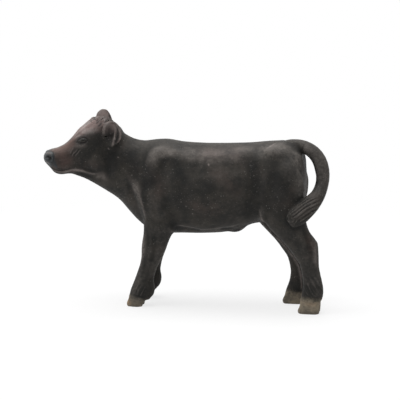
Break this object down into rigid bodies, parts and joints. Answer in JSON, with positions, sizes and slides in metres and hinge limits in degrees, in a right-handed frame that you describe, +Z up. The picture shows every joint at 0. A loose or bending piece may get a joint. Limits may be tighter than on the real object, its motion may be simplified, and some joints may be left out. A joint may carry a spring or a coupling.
{
  "type": "toy calf figure",
  "caption": "Small moulded plastic calf figure standing on four hooves, head turned slightly to its left, tail looped round on to its left thigh.",
  "frame": {"origin": "on the ground, under the middle of the figure's box", "axes": "+X from the nose towards the tail, so the calf faces -X; +Y towards its right side; +Z up"},
  "size_m": [0.0782, 0.0216, 0.053],
  "materials": {
    "torso": "matte hand-painted black-brown coat",
    "head": "matte hand-painted black-brown with a dusky pink-brown face",
    "left_ear": "matte hand-painted black-brown, lighter rim",
    "right_ear": "matte hand-painted black-brown, lighter rim",
    "left_foreleg": "matte black-brown with a tan hoof",
    "right_foreleg": "matte black-brown with a tan hoof",
    "left_hindleg": "matte black-brown with a tan hoof",
    "right_hindleg": "matte black-brown with a tan hoof",
    "tail": "matte black-brown, combed hair texture"
  },
  "bodies": {
    "root": {"torso": "torso", "head": "head", "left_ear": "left_ear", "right_ear": "right_ear", "left_foreleg": "left_foreleg", "right_foreleg": "right_foreleg", "left_hindleg": "left_hindleg", "right_hindleg": "right_hindleg", "tail": "tail"}
  },
  "joints": []
}
